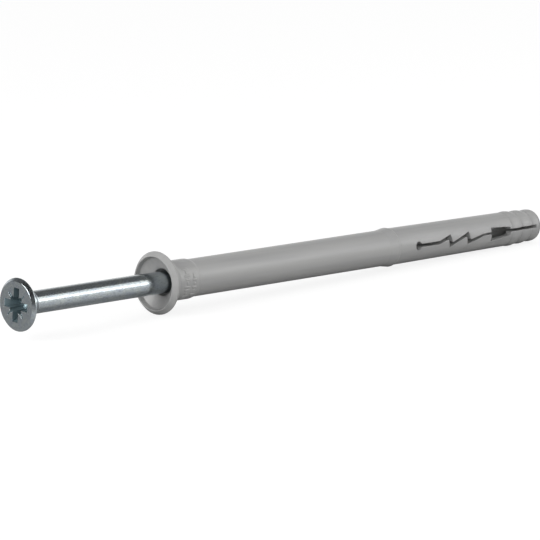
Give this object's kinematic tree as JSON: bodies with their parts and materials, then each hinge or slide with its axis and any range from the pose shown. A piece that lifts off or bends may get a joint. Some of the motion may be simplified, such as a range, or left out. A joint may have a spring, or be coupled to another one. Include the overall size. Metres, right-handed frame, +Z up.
{
  "type": "hammer fixing plug",
  "caption": "Hammer fixing: a nylon frame plug with a countersunk collar and slotted expansion zone, and its nail screw part driven in.",
  "frame": {"origin": "on the axis, in the front edge of the sleeve's collar", "axes": "+X along the axis from the nail's head to the sleeve's closed tip, +Z up; the slots open to -Y and +Y"},
  "size_m": [0.1584, 0.0134, 0.0134],
  "materials": {
    "sleeve_nylon": "moulded grey polyamide, fine satin surface",
    "nail_zinc": "bright zinc-plated steel with a faint blue passivation"
  },
  "bodies": {
    "sleeve": {"plug_sleeve": "sleeve_nylon"},
    "nail": {"nail_screw": "nail_zinc"}
  },
  "joints": [
    {"name": "nail_drive", "type": "slide", "parent": "sleeve", "child": "nail", "axis": [1, 0, 0], "range_m": [0, 0.03694]}
  ]
}
